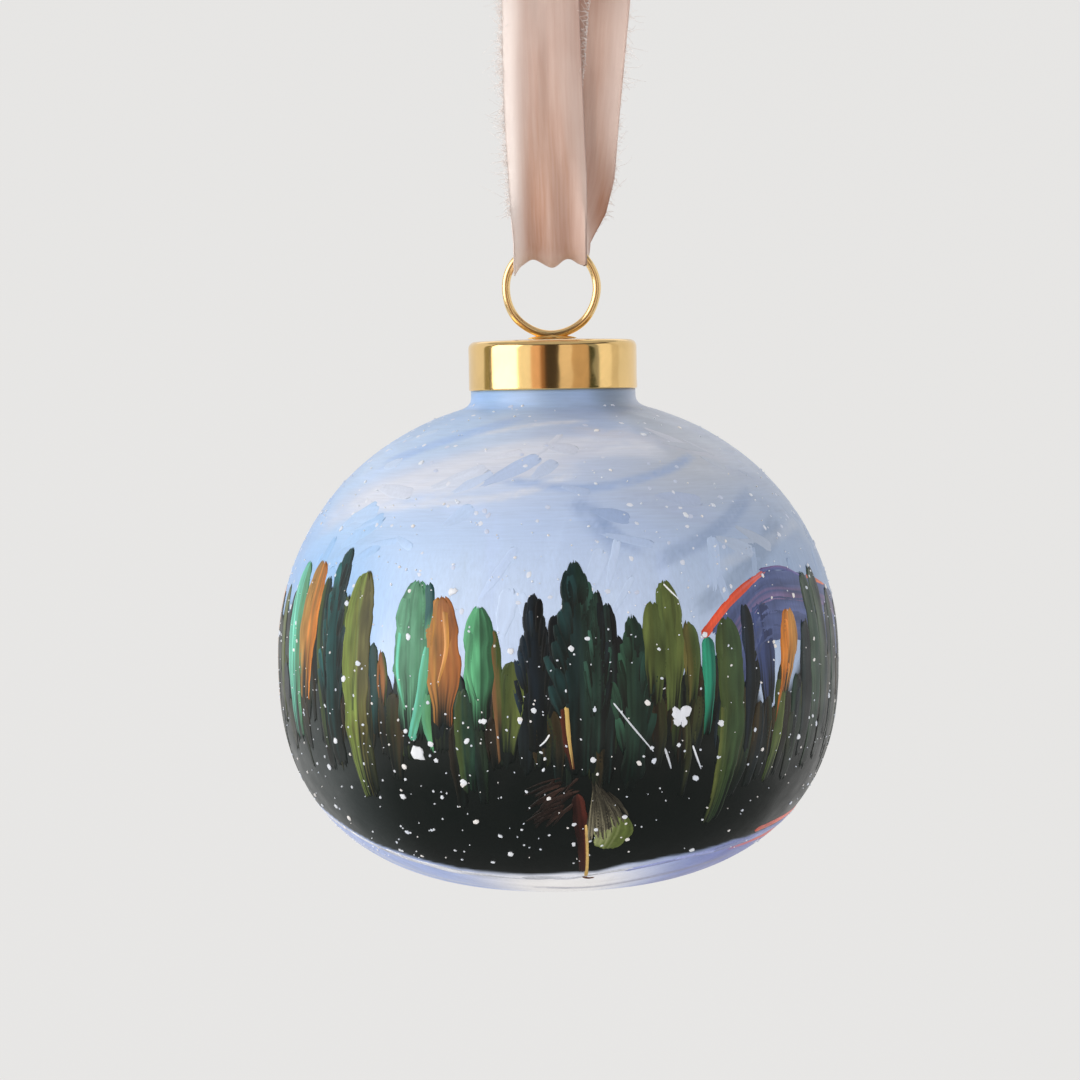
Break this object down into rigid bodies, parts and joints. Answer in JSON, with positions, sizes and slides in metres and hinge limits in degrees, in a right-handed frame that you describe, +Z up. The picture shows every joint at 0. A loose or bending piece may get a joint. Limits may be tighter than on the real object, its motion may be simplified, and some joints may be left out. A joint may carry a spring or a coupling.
{
  "type": "souvenir christmas ornament",
  "caption": "Hand-painted hollow ceramic ball ornament with a polished brass cap and wire ring, hung on a knotted loop of raw-edged silk ribbon.",
  "frame": {"origin": "inner top of the ribbon loop, under the knot, where a hook or twig carries the ornament", "axes": "+Z up along the ball's axis, ring in the XZ plane, front leg of the ribbon on the -Y side"},
  "size_m": [0.0762, 0.0762, 0.1422],
  "materials": {
    "painted_ceramic": "brush-painted winter forest under a satin-gloss varnish",
    "polished_brass": "mirror polished",
    "clear_epoxy": "clear, slightly yellow",
    "brass_wire": "polished wire",
    "gold_solder": "satin, slightly rough",
    "silk_ribbon": "soft silk with raw frayed edges"
  },
  "bodies": {
    "hanger": {"ribbon_knot": "silk_ribbon", "ribbon_tail_left": "silk_ribbon", "ribbon_tail_right": "silk_ribbon", "ribbon_front_leg": "silk_ribbon", "ribbon_back_leg": "silk_ribbon"},
    "gather": {"ribbon_gather": "silk_ribbon"},
    "ornament": {"hanging_ring": "brass_wire", "ring_solder": "gold_solder", "cap": "polished_brass", "cap_adhesive": "clear_epoxy", "ceramic_ball": "painted_ceramic"}
  },
  "joints": [
    {"name": "ribbon_twist", "type": "hinge", "parent": "hanger", "child": "gather", "pos_m": [0, 0, -0.03], "axis": [0, 0, 1], "range_deg": [-90, 90], "stiffness_Nm_per_rad": 0.0002},
    {"name": "ring_swing", "type": "hinge", "parent": "gather", "child": "ornament", "pos_m": [0, 0, -0.046], "axis": [1, 0, 0], "range_deg": [-45, 45]}
  ]
}
